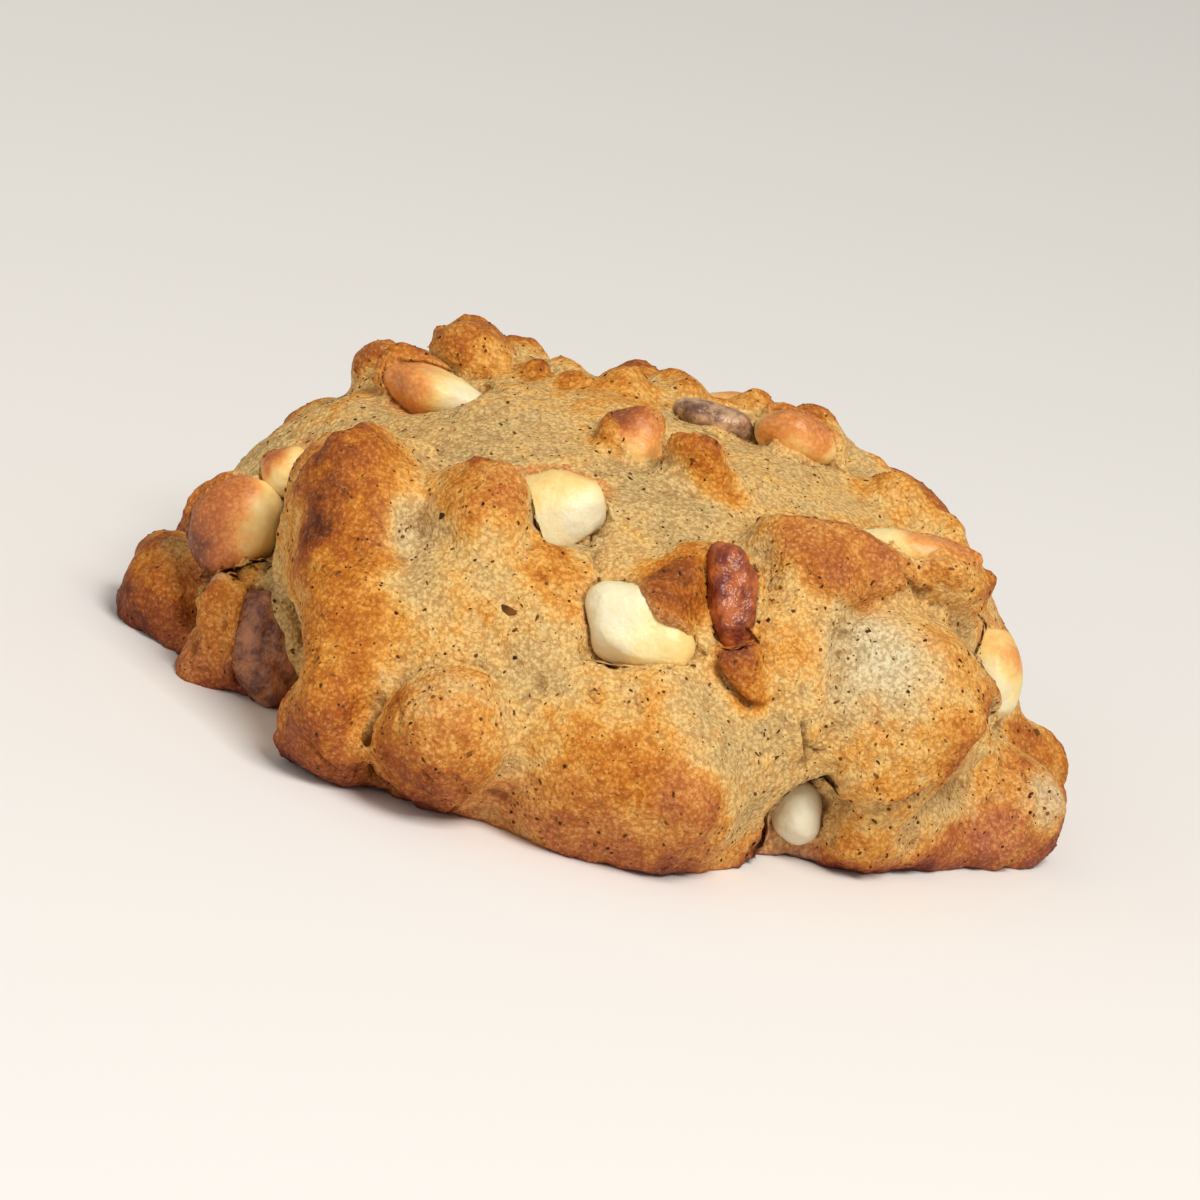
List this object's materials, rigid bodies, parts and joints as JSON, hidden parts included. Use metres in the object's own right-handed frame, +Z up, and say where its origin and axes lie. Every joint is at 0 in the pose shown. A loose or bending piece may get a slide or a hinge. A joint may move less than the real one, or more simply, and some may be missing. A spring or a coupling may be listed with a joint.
{
  "type": "earl grey cookie",
  "caption": "Thick drop cookie of tea-flecked dough, craggy and browned all round and flat underneath, with white chocolate chips and pieces of dried fruit baked in.",
  "frame": {"origin": "middle of the flat underside, at the centre of the bounding box in X and Y", "axes": "+X to the right along the cookie's longest side as seen from the front, +Y to the back, +Z up through its thickness; the front, with the big lobes and the fruit strip, faces -Y"},
  "size_m": [0.0911, 0.085, 0.034],
  "materials": {
    "dough": "baked cookie dough, pale olive-beige in the hollows and toasted orange-brown on the lobes, matt and finely crumbed with dark tea flecks",
    "chip": "white chocolate, creamy and softly waxy, toasted golden brown where it stands out",
    "fruit": "dried fruit, dark reddish brown, wrinkled and slightly sticky"
  },
  "bodies": {
    "root": {"dough": "dough", "chip_left": "chip", "chip_nib": "chip", "chip_top_left": "chip", "chip_crown": "chip", "chip_middle": "chip", "chip_foot": "chip", "chip_right": "chip", "chip_behind_crest": "chip", "chip_rim": "chip", "chip_teardrop": "chip", "chip_rear_left": "chip", "chip_rear_high": "chip", "chip_rear_middle": "chip", "chip_rear_foot": "chip", "chip_rear_right": "chip", "chip_rear_end": "chip", "fruit_strip": "fruit", "fruit_left": "fruit", "fruit_rim": "fruit", "fruit_rear_wedge": "fruit", "fruit_rear_low": "fruit", "fruit_rear_high": "fruit"}
  },
  "joints": []
}
